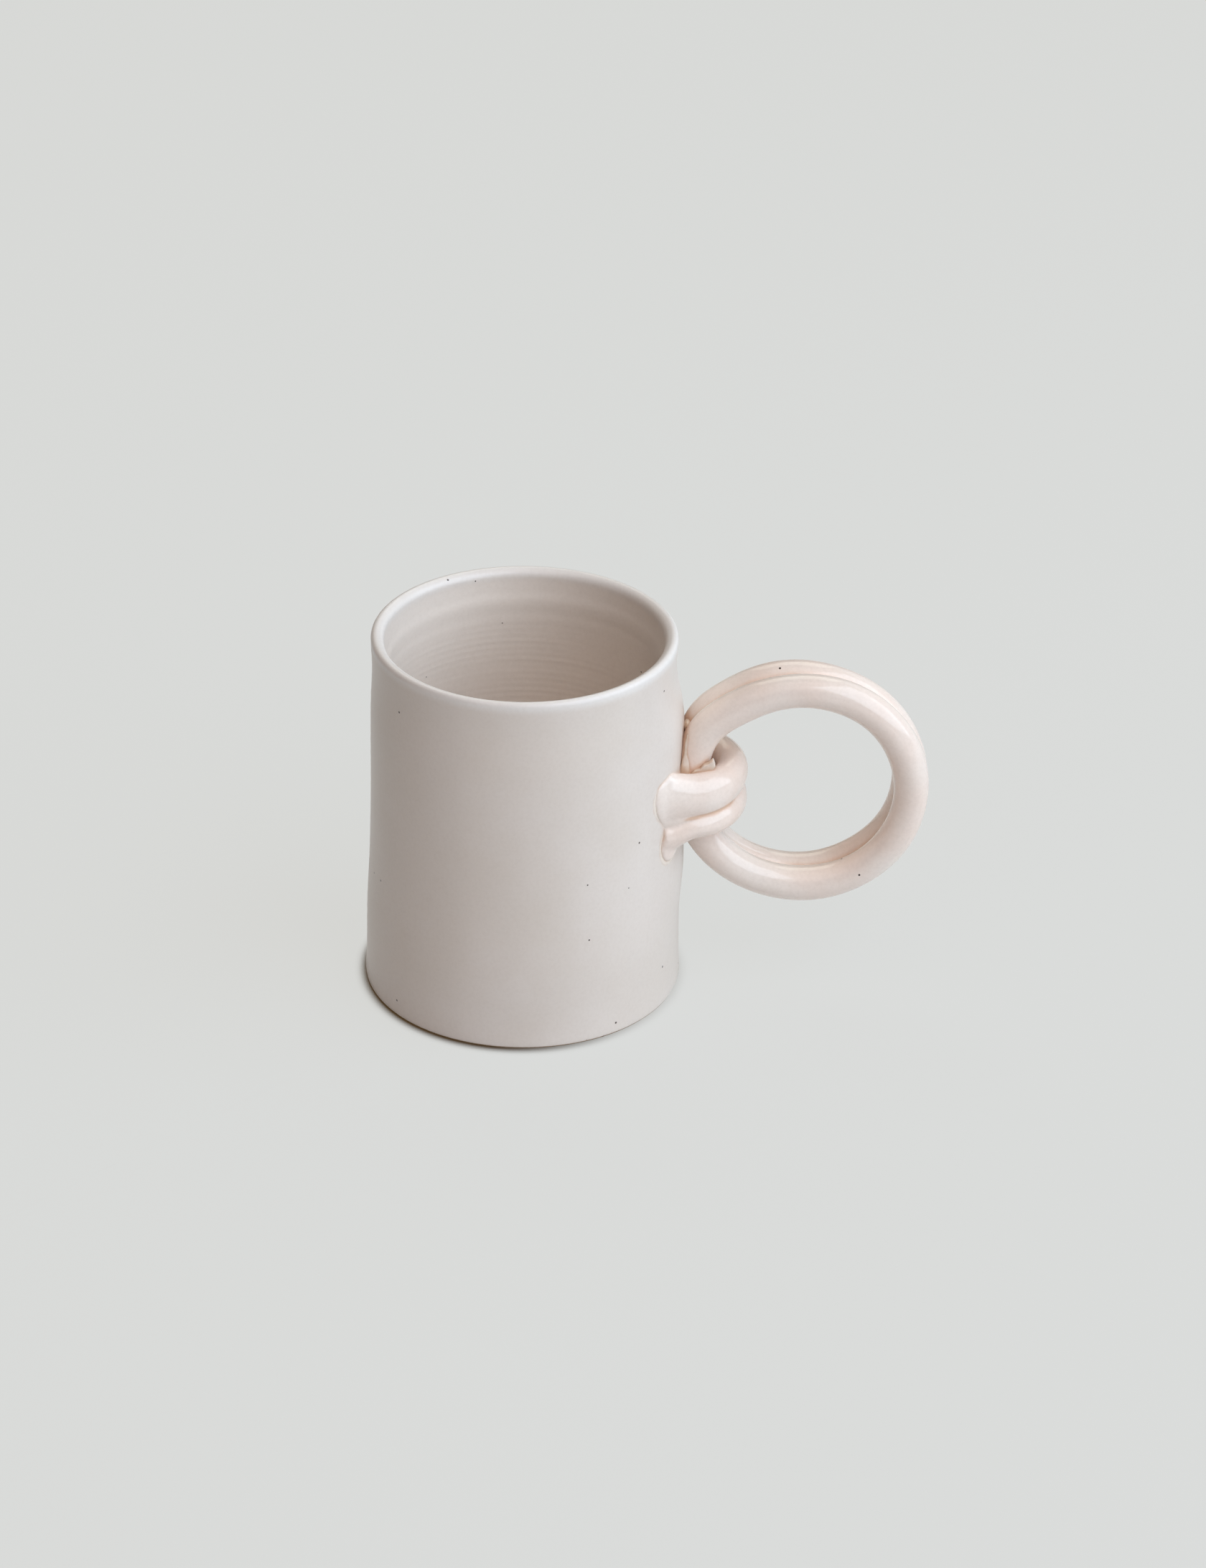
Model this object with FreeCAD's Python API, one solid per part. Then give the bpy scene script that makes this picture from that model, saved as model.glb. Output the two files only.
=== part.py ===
import FreeCAD, Part
import math
import os

# A hand-thrown stoneware mug with a handle made of hand-rolled coils of clay.
# Two equal rings of coil stand side by side against the wall, and two more
# coils, one above the other, loop round the rings and hold them to the wall.
# Slip, which is liquid clay, lutes every joint before the mug is fired.
#
# Frame: +Z up, origin on the mug's axis in the plane of its foot, +X towards
# the handle. Millimetres.

# ---- thrown body ---------------------------------------------------------
MUG_HEIGHT = 101.6
RIM_RADIUS = 40.0           # outside, at the widest part of the lip
LIP_THICKNESS = 3.4
LIP_OUTER_ROUND = 1.3       # radius where the outside turns over the lip
LIP_INNER_ROUND = 2.2       # radius where the lip turns down into the cup
LIP_SLOPE = 28.0            # degrees that the top of the lip falls inwards
FLOOR_THICKNESS = 6.0
FOOT_RADIUS = 42.4          # outside, where the wall flares into the foot
FOOT_EDGE = 1.1             # rounded edge of the foot, wiped clear of glaze
FLOOR_CORNER = 9.0          # radius between the floor and the wall, inside

# height and outside radius of the wall, from the foot to just under the lip
OUTER_WALL = [(7.0, 42.1), (22.0, 41.8), (38.0, 41.0), (57.0, 40.5), (80.0, 40.25), (92.0, 39.75)]
# height and inside radius, from the lip down to the top of the floor corner
INNER_WALL = [(95.0, 36.1), (88.0, 35.9), (60.0, 36.5), (32.0, 36.9)]
INNER_WALL_FOOT_RADIUS = 37.0

# ---- ring coils ----------------------------------------------------------
COIL_RADIUS = 4.6           # both rings and both wrap coils are this thick
RING_RADIUS = 29.2          # to the middle of the coil
RING_CENTRE_X = 73.0
RING_CENTRE_Z = 59.0
RING_SPACING = 8.5          # the pair is pressed together, so less than 2 coils

# ---- wrap coils ----------------------------------------------------------
WRAP_SPACING = 9.0          # upper wrap coil above the lower one
WRAP_CENTRE_Z = 58.2
WRAP_NOSE_X = 54.7          # furthest reach of the coil's middle from the axis
WRAP_NOSE_RADIUS = 13.1
WRAP_SPLAY = 18.0           # degrees that each leg turns out on its way to the wall

# ---- slip ----------------------------------------------------------------
SLIP_THICKNESS = 0.8
ROOT_PAD_WIDTH = 16.0
ROOT_PAD_LOW = 47.0
ROOT_PAD_HIGH = 72.0
ROOT_FILLET_WIDTH = 6.5     # slip that fills the notch above the rings
ROOT_FILLET_HIGH = 80.0
ROOT_HOLLOW_RADIUS = 5.4    # the concave top of that slip, left by a fingertip
ROOT_HOLLOW_X = 46.5
ROOT_HOLLOW_Z = 82.0
WRAP_PAD_INNER_Y = 9.6
WRAP_PAD_OUTER_Y = 21.6
WRAP_PAD_HEIGHT = 22.5
WRAP_PAD_CORNER = 4.0
LUMP_RADIUS = 2.3           # slip squeezed out where the front ring enters the wrap

Y_AXIS = FreeCAD.Vector(0, 1, 0)
Z_AXIS = FreeCAD.Vector(0, 0, 1)
ORIGIN = FreeCAD.Vector(0, 0, 0)

CLEAR = 30.0                # how far a cutting solid runs past what it cuts


def in_section(radius, height):
    """A point of the body's half section, in the XZ plane."""
    return FreeCAD.Vector(radius, 0, height)


def curve_through(points):
    curve = Part.BSplineCurve()
    curve.interpolate(points)
    return curve.toShape()


def line(start, end):
    return Part.LineSegment(start, end).toShape()


def arc(start, middle, end):
    return Part.Arc(start, middle, end).toShape()


def turned(edges):
    """The solid that a closed half section sweeps in one turn about the axis."""
    face = Part.Face(Part.Wire(edges))
    return face.revolve(ORIGIN, Z_AXIS, 360)


def box(low, high):
    size = high.sub(low)
    return Part.makeBox(size.x, size.y, size.z, low)


def outer_wall_points(grow=0.0):
    points = [in_section(FOOT_RADIUS + grow, FOOT_EDGE)]
    points += [in_section(radius + grow, height) for height, radius in OUTER_WALL]
    points.append(in_section(RIM_RADIUS + grow, MUG_HEIGHT - LIP_OUTER_ROUND))
    return points


def on_arc(centre, radius, degrees):
    """A point on an arc in the section plane; 0 degrees points away from the axis."""
    angle = math.radians(degrees)
    return centre + in_section(radius * math.cos(angle), radius * math.sin(angle))


def make_lip():
    """The lip's edges, from the outside over its sloping top to the inside."""
    outer_centre = in_section(RIM_RADIUS - LIP_OUTER_ROUND, MUG_HEIGHT - LIP_OUTER_ROUND)
    slope_normal = 90 + LIP_SLOPE
    slope_start = on_arc(outer_centre, LIP_OUTER_ROUND, slope_normal)
    inner_centre_radius = RIM_RADIUS - LIP_THICKNESS + LIP_INNER_ROUND
    slope_end_radius = on_arc(in_section(inner_centre_radius, 0), LIP_INNER_ROUND, slope_normal).x
    drop = (slope_start.x - slope_end_radius) * math.tan(math.radians(LIP_SLOPE))
    slope_end = in_section(slope_end_radius, slope_start.z - drop)
    inner_centre = slope_end.sub(on_arc(ORIGIN, LIP_INNER_ROUND, slope_normal))

    outer_start = on_arc(outer_centre, LIP_OUTER_ROUND, 0)
    outer_middle = on_arc(outer_centre, LIP_OUTER_ROUND, slope_normal / 2)
    inner_middle = on_arc(inner_centre, LIP_INNER_ROUND, (slope_normal + 180) / 2)
    inner_end = on_arc(inner_centre, LIP_INNER_ROUND, 180)
    edges = [
        arc(outer_start, outer_middle, slope_start),
        line(slope_start, slope_end),
        arc(slope_end, inner_middle, inner_end),
    ]
    return edges, inner_end


def make_thrown_body():
    outside = outer_wall_points()
    lip_edges, lip_inside = make_lip()

    inside = [lip_inside]
    inside += [in_section(radius, height) for height, radius in INNER_WALL]
    inside.append(in_section(INNER_WALL_FOOT_RADIUS, FLOOR_THICKNESS + FLOOR_CORNER))

    corner_centre_radius = INNER_WALL_FOOT_RADIUS - FLOOR_CORNER
    corner_centre_height = FLOOR_THICKNESS + FLOOR_CORNER
    half = FLOOR_CORNER * math.sqrt(0.5)
    corner_middle = in_section(corner_centre_radius + half, corner_centre_height - half)
    floor_edge = in_section(corner_centre_radius, FLOOR_THICKNESS)

    foot_inner = in_section(FOOT_RADIUS - FOOT_EDGE, 0)
    foot_half = FOOT_EDGE * (1 - math.sqrt(0.5))
    foot_middle = in_section(FOOT_RADIUS - foot_half, foot_half)
    return turned([
        line(ORIGIN, foot_inner),
        arc(foot_inner, foot_middle, outside[0]),
        curve_through(outside),
        *lip_edges,
        curve_through(inside),
        arc(inside[-1], corner_middle, floor_edge),
        line(floor_edge, in_section(0, FLOOR_THICKNESS)),
        line(in_section(0, FLOOR_THICKNESS), ORIGIN),
    ])


def make_filled_wall(grow):
    """The wall's outside as a filled solid, grown outwards, to cut and shape slip."""
    outside = outer_wall_points(grow)
    bottom = in_section(0, FOOT_EDGE)
    top = in_section(0, outside[-1].z)
    return turned([
        line(bottom, outside[0]),
        curve_through(outside),
        line(outside[-1], top),
        line(top, bottom),
    ])


def make_ring(side):
    """One ring; side is -1 for the front one, on the -Y side, and +1 for the rear."""
    centre = FreeCAD.Vector(RING_CENTRE_X, side * RING_SPACING / 2, RING_CENTRE_Z)
    ring = Part.makeTorus(RING_RADIUS, COIL_RADIUS, centre, Y_AXIS)
    reach = RING_RADIUS + COIL_RADIUS + CLEAR
    low = FreeCAD.Vector(centre.x - reach, min(0, side * CLEAR), centre.z - reach)
    high = FreeCAD.Vector(centre.x + reach, max(0, side * CLEAR), centre.z + reach)
    return ring.common(box(low, high))


def make_wrap(level):
    """One wrap coil, a U seen from above; level is -1 for the lower, +1 for the upper."""
    height = WRAP_CENTRE_Z + level * WRAP_SPACING / 2
    splay = math.radians(WRAP_SPLAY)
    centre_x = WRAP_NOSE_X - WRAP_NOSE_RADIUS
    turn_x = centre_x + WRAP_NOSE_RADIUS * math.sin(splay)
    turn_y = WRAP_NOSE_RADIUS * math.cos(splay)
    end_x = RIM_RADIUS - 2 * COIL_RADIUS
    end_y = turn_y + (turn_x - end_x) * math.tan(splay)

    front_end = FreeCAD.Vector(end_x, -end_y, height)
    front_turn = FreeCAD.Vector(turn_x, -turn_y, height)
    nose = FreeCAD.Vector(WRAP_NOSE_X, 0, height)
    rear_turn = FreeCAD.Vector(turn_x, turn_y, height)
    rear_end = FreeCAD.Vector(end_x, end_y, height)
    path = Part.Wire([
        line(front_end, front_turn),
        arc(front_turn, nose, rear_turn),
        line(rear_turn, rear_end),
    ])
    along = front_turn.sub(front_end)
    section = Part.Wire([Part.makeCircle(COIL_RADIUS, front_end, along)])
    coil = path.makePipeShell([section], True, True)

    low = FreeCAD.Vector(0, -CLEAR, WRAP_CENTRE_Z + min(0, level * CLEAR))
    high = FreeCAD.Vector(RING_CENTRE_X, CLEAR, WRAP_CENTRE_Z + max(0, level * CLEAR))
    return coil.common(box(low, high))


def make_root_slip(wall, slip_face, rings, wraps):
    """Slip between the rings and the wall, and the fillet in the notch above them."""
    half = ROOT_PAD_WIDTH / 2
    pad_low = FreeCAD.Vector(0, -half, ROOT_PAD_LOW)
    pad_high = FreeCAD.Vector(RING_CENTRE_X, half, ROOT_PAD_HIGH)
    pad = slip_face.common(box(pad_low, pad_high))

    fillet_half = ROOT_FILLET_WIDTH / 2
    notch_x = RING_CENTRE_X - RING_RADIUS
    fillet_low = FreeCAD.Vector(0, -fillet_half, RING_CENTRE_Z)
    fillet_high = FreeCAD.Vector(notch_x, fillet_half, ROOT_FILLET_HIGH)
    hollow_end = FreeCAD.Vector(ROOT_HOLLOW_X, -ROOT_PAD_WIDTH, ROOT_HOLLOW_Z)
    hollow = Part.makeCylinder(ROOT_HOLLOW_RADIUS, 2 * ROOT_PAD_WIDTH, hollow_end, Y_AXIS)
    fillet = box(fillet_low, fillet_high).cut(hollow)
    return pad.fuse(fillet).cut(wall).cut(rings).cut(wraps)


def make_wrap_slip(side, wall, slip_face):
    """Slip under the two wrap ends on one side, as one rounded patch on the wall."""
    middle_y = (WRAP_PAD_INNER_Y + WRAP_PAD_OUTER_Y) / 2
    half_y = (WRAP_PAD_OUTER_Y - WRAP_PAD_INNER_Y) / 2
    half_z = WRAP_PAD_HEIGHT / 2
    low = FreeCAD.Vector(0, side * middle_y - half_y, WRAP_CENTRE_Z - half_z)
    high = FreeCAD.Vector(RING_CENTRE_X, side * middle_y + half_y, WRAP_CENTRE_Z + half_z)
    patch = box(low, high)
    long_edges = [edge for edge in patch.Edges if abs(edge.tangentAt(edge.FirstParameter).x) > 0.5]
    patch = patch.makeFillet(WRAP_PAD_CORNER, long_edges)
    return slip_face.common(patch).cut(wall)


def make_slip_in_wrap(rings, wraps):
    """Slip between the rings and the inside of the wrap, and a lump squeezed out in front."""
    inner_x = RING_CENTRE_X - RING_RADIUS + COIL_RADIUS / 2
    bed = box(
        FreeCAD.Vector(inner_x, -RING_SPACING / 2, WRAP_CENTRE_Z - COIL_RADIUS / 2),
        FreeCAD.Vector(WRAP_NOSE_X - COIL_RADIUS / 2, RING_SPACING / 2, WRAP_CENTRE_Z + COIL_RADIUS / 2),
    )
    ring_edge_y = RING_SPACING / 2 + COIL_RADIUS
    wrap_top = WRAP_CENTRE_Z + WRAP_SPACING / 2 + COIL_RADIUS
    ring_inside_x = RING_CENTRE_X - RING_RADIUS + COIL_RADIUS
    lump_centre = FreeCAD.Vector(ring_inside_x, -ring_edge_y, wrap_top)
    lump = Part.makeSphere(LUMP_RADIUS, lump_centre)
    pieces = [bed.cut(rings).cut(wraps), lump.cut(rings).cut(wraps)]
    return Part.makeCompound([piece.Solids[0] for piece in pieces])


def make_mug():
    wall = make_filled_wall(0)
    slip_face = make_filled_wall(SLIP_THICKNESS)
    rings = {"front": make_ring(-1), "rear": make_ring(1)}
    rings = {name: ring.cut(slip_face) for name, ring in rings.items()}
    both_rings = rings["front"].fuse(rings["rear"])
    wraps = {"upper": make_wrap(1), "lower": make_wrap(-1)}
    wraps = {name: wrap.cut(slip_face).cut(both_rings) for name, wrap in wraps.items()}
    both_wraps = wraps["upper"].fuse(wraps["lower"])
    return {
        "thrown_body": make_thrown_body(),
        "ring_coil_front": rings["front"],
        "ring_coil_rear": rings["rear"],
        "wrap_coil_upper": wraps["upper"],
        "wrap_coil_lower": wraps["lower"],
        "slip_ring_root": make_root_slip(wall, slip_face, both_rings, both_wraps),
        "slip_wrap_foot_front": make_wrap_slip(-1, wall, slip_face),
        "slip_wrap_foot_rear": make_wrap_slip(1, wall, slip_face),
        "slip_ring_in_wrap": make_slip_in_wrap(both_rings, both_wraps),
    }


os.makedirs("parts", exist_ok=True)
for node, shape in make_mug().items():
    shape.exportStep("parts/" + node + ".step")
    print(node, len(shape.Solids), "solids", round(shape.Volume / 1000, 2), "ml", shape.isValid())
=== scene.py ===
# %% [markdown]
# # A stoneware mug with a coiled handle
# The mug was thrown on a wheel, and its handle was made from four hand-rolled coils of clay: two
# rings side by side, and two more coils that loop round the rings and hold them to the wall.
# Everything was joined with slip, which is liquid clay, and then glazed and fired.
# This lesson builds each piece as its maker did. The CAD model gives the sizes and the places, and
# each piece made here stands for the plain CAD piece of the same name.

# %% Load the CAD model
import math

import bmesh
import bpy
from mathutils import Matrix, Vector, noise
from mathutils.bvhtree import BVHTree


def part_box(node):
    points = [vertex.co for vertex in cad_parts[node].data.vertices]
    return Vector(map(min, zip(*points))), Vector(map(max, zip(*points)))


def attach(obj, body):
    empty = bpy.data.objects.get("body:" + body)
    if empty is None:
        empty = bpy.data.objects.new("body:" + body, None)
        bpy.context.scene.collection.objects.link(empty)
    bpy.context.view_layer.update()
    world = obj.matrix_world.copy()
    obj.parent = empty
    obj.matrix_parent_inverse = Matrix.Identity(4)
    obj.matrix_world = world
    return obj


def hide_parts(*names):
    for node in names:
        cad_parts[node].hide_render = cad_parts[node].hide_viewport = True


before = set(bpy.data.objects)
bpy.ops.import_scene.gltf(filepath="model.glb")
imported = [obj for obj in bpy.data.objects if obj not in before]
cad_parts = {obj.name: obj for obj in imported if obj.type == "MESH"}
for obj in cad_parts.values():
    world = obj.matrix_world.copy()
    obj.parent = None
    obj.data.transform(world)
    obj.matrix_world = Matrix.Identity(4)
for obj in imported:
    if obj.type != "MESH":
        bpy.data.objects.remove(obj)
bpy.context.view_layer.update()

MM = 0.001
print("the CAD model holds", sorted(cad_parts))

# %% [markdown]
# ## Measures from the CAD model
# The main sizes and places are read from the boxes of the CAD pieces, so that the looks follow the
# design. The finer measures repeat the design's own. The rings stand side by side in planes
# parallel to XZ, and the mug's axis is the Z axis.

# %% Read the main sizes
body_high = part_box("thrown_body")[1]
front_low, front_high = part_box("ring_coil_front")
wrap_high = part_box("wrap_coil_lower")[1]

MUG_HEIGHT = body_high.z
FOOT_RADIUS = body_high.x
RIM_RADIUS = 40.0 * MM
COIL_RADIUS = 4.6 * MM
RING_OUTER = (front_high.z - front_low.z) / 2
RING_CENTRE = Vector((front_high.x - RING_OUTER, 0, (front_high.z + front_low.z) / 2))
RING_HALF_WIDTH = -front_low.y
WRAP_SEAM_HEIGHT = wrap_high.z
WRAP_NOSE = wrap_high.x - COIL_RADIUS
print("mug", round(MUG_HEIGHT / MM, 1), "mm tall")
print("rings", round(2 * RING_OUTER / MM, 1), "mm across")
print("wrap seam at", round(WRAP_SEAM_HEIGHT / MM, 1), "mm; its nose at", round(WRAP_NOSE / MM, 1))


# %% [markdown]
# ## Small helpers
# A bmesh is a mesh being worked on. When a piece is done it becomes an object, is shaded smooth
# except over sharp edges, and is tied to the CAD node that it stands for.

# %% Turn a bmesh into a piece
def smoothstep(low, high, value):
    t = min(1.0, max(0.0, (value - low) / (high - low)))
    return t * t * (3 - 2 * t)


def piece_from(bm, name, sharp_degrees=50):
    """A new object at the origin that holds the bmesh, with its normals outwards."""
    bmesh.ops.recalc_face_normals(bm, faces=bm.faces)
    mesh = bpy.data.meshes.new(name)
    bm.to_mesh(mesh)
    bm.free()
    mesh.shade_smooth()
    mesh.set_sharp_from_angle(angle=math.radians(sharp_degrees))
    piece = bpy.data.objects.new(name, mesh)
    bpy.context.scene.collection.objects.link(piece)
    return piece


def stand_for(piece, node):
    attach(piece, "root")
    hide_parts(node)
    print(piece.name, "stands for", node, "with", len(piece.data.polygons), "faces")


# %% [markdown]
# ## Where the wall is
# The wall was thrown with a slight waist and a spreading foot. When the handle was pressed on, a
# hand inside the cup pushed back, and left a low swelling behind the handle. One function gives
# the outside radius of the wall at any height and angle, and the handle uses it too, so that the
# coils sit on the wall that was really made.

# %% Describe the outside of the wall
# height and outside radius in mm, from the foot's edge to the lip
WALL = [
    (1.1, 42.4), (7.0, 42.1), (22.0, 41.8), (38.0, 41.0),
    (57.0, 40.5), (80.0, 40.25), (92.0, 39.75), (100.1, 40.0),
]
SWELLING = 1.8 * MM
SWELLING_HALF_ANGLE = math.radians(27)
SWELLING_EDGE = math.radians(9)
# heights in mm between which the swelling starts, and those between which it ends
SWELLING_STARTS, SWELLING_ENDS = (18, 38), (76, 93)


def plain_wall_radius(height):
    """The outside radius before the handle was pressed on, from a smooth curve through WALL."""
    z = height / MM
    spans = len(WALL) - 1
    span = next((i for i in range(spans) if z <= WALL[i + 1][0]), spans - 1)
    before, start = WALL[max(0, span - 1)], WALL[span]
    end, after = WALL[span + 1], WALL[min(spans, span + 2)]
    width = end[0] - start[0]
    t = min(1.0, max(0.0, (z - start[0]) / width))
    slope_in = (end[1] - before[1]) / (end[0] - before[0]) * width
    slope_out = (after[1] - start[1]) / (after[0] - start[0]) * width
    radius = (
        (2 * t**3 - 3 * t**2 + 1) * start[1]
        + (t**3 - 2 * t**2 + t) * slope_in
        + (3 * t**2 - 2 * t**3) * end[1]
        + (t**3 - t**2) * slope_out
    )
    return radius * MM


def swelling(height, angle):
    """How far the wall is pushed out behind the handle."""
    z = height / MM
    up_and_down = smoothstep(*SWELLING_STARTS, z) * (1 - smoothstep(*SWELLING_ENDS, z))
    inner, outer = SWELLING_HALF_ANGLE - SWELLING_EDGE, SWELLING_HALF_ANGLE + SWELLING_EDGE
    across = 1 - smoothstep(inner, outer, abs(angle))
    return SWELLING * up_and_down * across


def wall_radius(height, angle):
    return plain_wall_radius(height) + swelling(height, angle)


print("wall behind the handle at", round(wall_radius(RING_CENTRE.z, 0) / MM, 2), "mm")

# %% [markdown]
# ## The thrown body
# A pot thrown on a wheel is a turned shape, so it starts as half of its outline, a wire of
# vertices, which the Spin operator turns about the axis. Steps as small as the throwing lines
# leave enough points to press those lines into the clay afterwards.

# %% Draw the half outline
FOOT_EDGE = 1.1 * MM
LIP_THICKNESS = 3.4 * MM
LIP_OUTER_ROUND = 1.3 * MM
LIP_INNER_ROUND = 2.2 * MM
LIP_SLOPE = math.radians(28)
FLOOR_HEIGHT = 6.0 * MM
FLOOR_CORNER = 9.0 * MM
LIP_INSIDE_RADIUS = RIM_RADIUS - LIP_THICKNESS
INSIDE_TOP_RADIUS = 35.7 * MM
INSIDE_FOOT_RADIUS = 37.0 * MM
LIP_FLARE = (91, 100)         # heights in mm between which the inside opens into the lip
FLAT_STEPS = 14
WALL_STEPS = 80
INSIDE_STEPS = 150


def steps(start, end, count):
    """Evenly spaced values from start to end, without the end."""
    return [start + (end - start) * i / count for i in range(count)]


def arc_points(centre, radius, start, end, count):
    """Points on an arc in the half outline, by angles from the outward direction."""
    angles = [*steps(start, end, count), end]
    return [(centre[0] + radius * math.cos(a), centre[1] + radius * math.sin(a)) for a in angles]


def lip_points():
    """Over the outer round, down the sloping top and over the inner round."""
    normal = math.pi / 2 + LIP_SLOPE
    outer = (RIM_RADIUS - LIP_OUTER_ROUND, MUG_HEIGHT - LIP_OUTER_ROUND)
    over = arc_points(outer, LIP_OUTER_ROUND, 0, normal, 10)
    inner_radius = LIP_INSIDE_RADIUS + LIP_INNER_ROUND
    run = over[-1][0] - (inner_radius + LIP_INNER_ROUND * math.cos(normal))
    slope_end = over[-1][1] - run * math.tan(LIP_SLOPE)
    inner = (inner_radius, slope_end - LIP_INNER_ROUND * math.sin(normal))
    return over + arc_points(inner, LIP_INNER_ROUND, normal, math.pi, 9)


def inside_radius(height):
    t = smoothstep(FLOOR_HEIGHT + FLOOR_CORNER, MUG_HEIGHT, height)
    flare = (LIP_INSIDE_RADIUS - INSIDE_TOP_RADIUS) * smoothstep(*LIP_FLARE, height / MM)
    return INSIDE_FOOT_RADIUS + (INSIDE_TOP_RADIUS - INSIDE_FOOT_RADIUS) * t + flare


def half_outline():
    foot_centre = (FOOT_RADIUS - FOOT_EDGE, FOOT_EDGE)
    corner_height = FLOOR_HEIGHT + FLOOR_CORNER
    corner = (INSIDE_FOOT_RADIUS - FLOOR_CORNER, corner_height)
    points = [(radius, 0) for radius in steps(0, FOOT_RADIUS - FOOT_EDGE, FLAT_STEPS)]
    points += arc_points(foot_centre, FOOT_EDGE, -math.pi / 2, 0, 5)[:-1]
    wall_heights = steps(FOOT_EDGE, MUG_HEIGHT - LIP_OUTER_ROUND, WALL_STEPS)
    points += [(plain_wall_radius(z), z) for z in wall_heights]
    points += lip_points()
    lip_foot = points.pop()
    points += [(inside_radius(z), z) for z in steps(lip_foot[1], corner_height, INSIDE_STEPS)]
    points += arc_points(corner, FLOOR_CORNER, 0, -math.pi / 2, 10)
    points += [(radius, FLOOR_HEIGHT) for radius in steps(corner[0], 0, FLAT_STEPS)[1:]]
    points.append((0, FLOOR_HEIGHT))
    return points


# %% [markdown]
# The wire is spun in small steps. The wall round the handle then gets smaller faces still, because
# the glaze needs to know closely where the clay is sheltered there.

# %% Spin the outline into a pot
BODY_STEPS = 240
# the part of the outer wall round the handle, which gets smaller faces
FINE_FROM_X, FINE_RADIUS, FINE_HALF_WIDTH = 34 * MM, 38.5 * MM, 24 * MM
FINE_LOW, FINE_HIGH = 40 * MM, 86 * MM

body_bm = bmesh.new()
outline = [body_bm.verts.new((radius, 0, z)) for radius, z in half_outline()]
for lower, upper in zip(outline, outline[1:]):
    body_bm.edges.new((lower, upper))
bmesh.ops.spin(
    body_bm, geom=body_bm.verts[:] + body_bm.edges[:], cent=(0, 0, 0), axis=(0, 0, 1),
    dvec=(0, 0, 0), angle=2 * math.pi, steps=BODY_STEPS, use_merge=True, use_duplicate=False,
)
bmesh.ops.remove_doubles(body_bm, verts=body_bm.verts, dist=0.01 * MM)
print("outline of", len(outline), "points spun to", len(body_bm.faces), "faces")


def near_handle(face):
    x, y, z = face.calc_center_median()
    on_outside = x > FINE_FROM_X and math.hypot(x, y) > FINE_RADIUS
    return on_outside and abs(y) < FINE_HALF_WIDTH and FINE_LOW < z < FINE_HIGH


fine_edges = {edge for face in body_bm.faces if near_handle(face) for edge in face.edges}
bmesh.ops.subdivide_edges(body_bm, edges=list(fine_edges), cuts=1, use_grid_fill=True)
print("made finer round the handle:", len(body_bm.faces), "faces")

# %% [markdown]
# ## Marks of the maker's hands
# A finger that rises as the wheel turns leaves a slow spiral. Inside the cup it is plain to see:
# a few stronger rings under the lip, then a comb of fine lines. Outside, a rib has smoothed it
# almost away. The rim is a little out of round, as every thrown rim is.

# %% Press the throwing lines into the wall
OUTSIDE_LINE_PITCH = 3.4
OUTSIDE_LINE_DEPTH = 0.03
INSIDE_LINE_PITCH = 1.9
INSIDE_LINE_DEPTH = 0.045
# in mm: depth below the rim, half width and height of each strong ring; negative is a groove
INSIDE_RINGS = [
    (7.0, 1.1, -0.06), (9.2, 1.4, 0.06), (13.0, 1.0, -0.05), (15.4, 1.2, 0.03), (29.0, 1.4, -0.03),
]
RING_DRIFT = 0.8              # mm that a ring climbs and falls on its way round
COMB_STARTS, COMB_FADES = (13, 18), (34, 60)
OUT_OF_ROUND = 0.12           # mm, at the rim
RIM_DIP = 0.10 * MM


def inside_marks(depth, angle):
    """Throwing marks inside, in mm towards the axis, at a depth below the rim."""
    spiral = depth + RING_DRIFT * math.sin(angle + 0.6)
    rings = sum(rise * math.exp(-(((spiral - at) / half) ** 2)) for at, half, rise in INSIDE_RINGS)
    comb = smoothstep(*COMB_STARTS, depth) * (1 - 0.6 * smoothstep(*COMB_FADES, depth))
    unevenness = 0.6 + 0.8 * noise.noise((math.cos(angle), math.sin(angle), depth * 0.4))
    turns = depth / INSIDE_LINE_PITCH + angle / (2 * math.pi)
    return rings + comb * unevenness * INSIDE_LINE_DEPTH * math.sin(2 * math.pi * turns)


def outside_marks(z, angle):
    """Throwing marks outside, in mm away from the axis, at a height in mm."""
    turns = z / OUTSIDE_LINE_PITCH + angle / (2 * math.pi)
    unevenness = 0.6 + noise.noise((math.cos(angle), math.sin(angle), z * 0.15))
    return OUTSIDE_LINE_DEPTH * unevenness * math.sin(2 * math.pi * turns)


def shape_by_hand(point):
    """Moves a point of the turned shape to where the maker's hands left it."""
    radius, angle, z = math.hypot(point.x, point.y), math.atan2(point.y, point.x), point.z / MM
    on_wall = smoothstep(28, 34, radius / MM)
    is_inside = radius < plain_wall_radius(point.z) - 0.5 * LIP_THICKNESS
    below_lip = 1 - smoothstep(MUG_HEIGHT / MM - 4, MUG_HEIGHT / MM - 1, z)
    off_foot = smoothstep(1, 5, z)
    if is_inside:
        marks = -inside_marks(MUG_HEIGHT / MM - z, angle) * below_lip * on_wall
    else:
        marks = outside_marks(z, angle) * below_lip * off_foot
    out_of_round = OUT_OF_ROUND * math.sin(2 * angle + 0.7) * smoothstep(30, 100, z) * on_wall
    push = swelling(point.z, angle) * on_wall + (marks + out_of_round) * MM
    grown = (radius + push) / max(radius, MM)
    dip = RIM_DIP * math.sin(2 * angle + 2.0) * smoothstep(70, 100, z)
    return Vector((point.x * grown, point.y * grown, point.z + dip))


for vertex in body_bm.verts:
    vertex.co = shape_by_hand(vertex.co)
body = piece_from(body_bm, "mug_body", sharp_degrees=60)
stand_for(body, "thrown_body")

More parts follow.
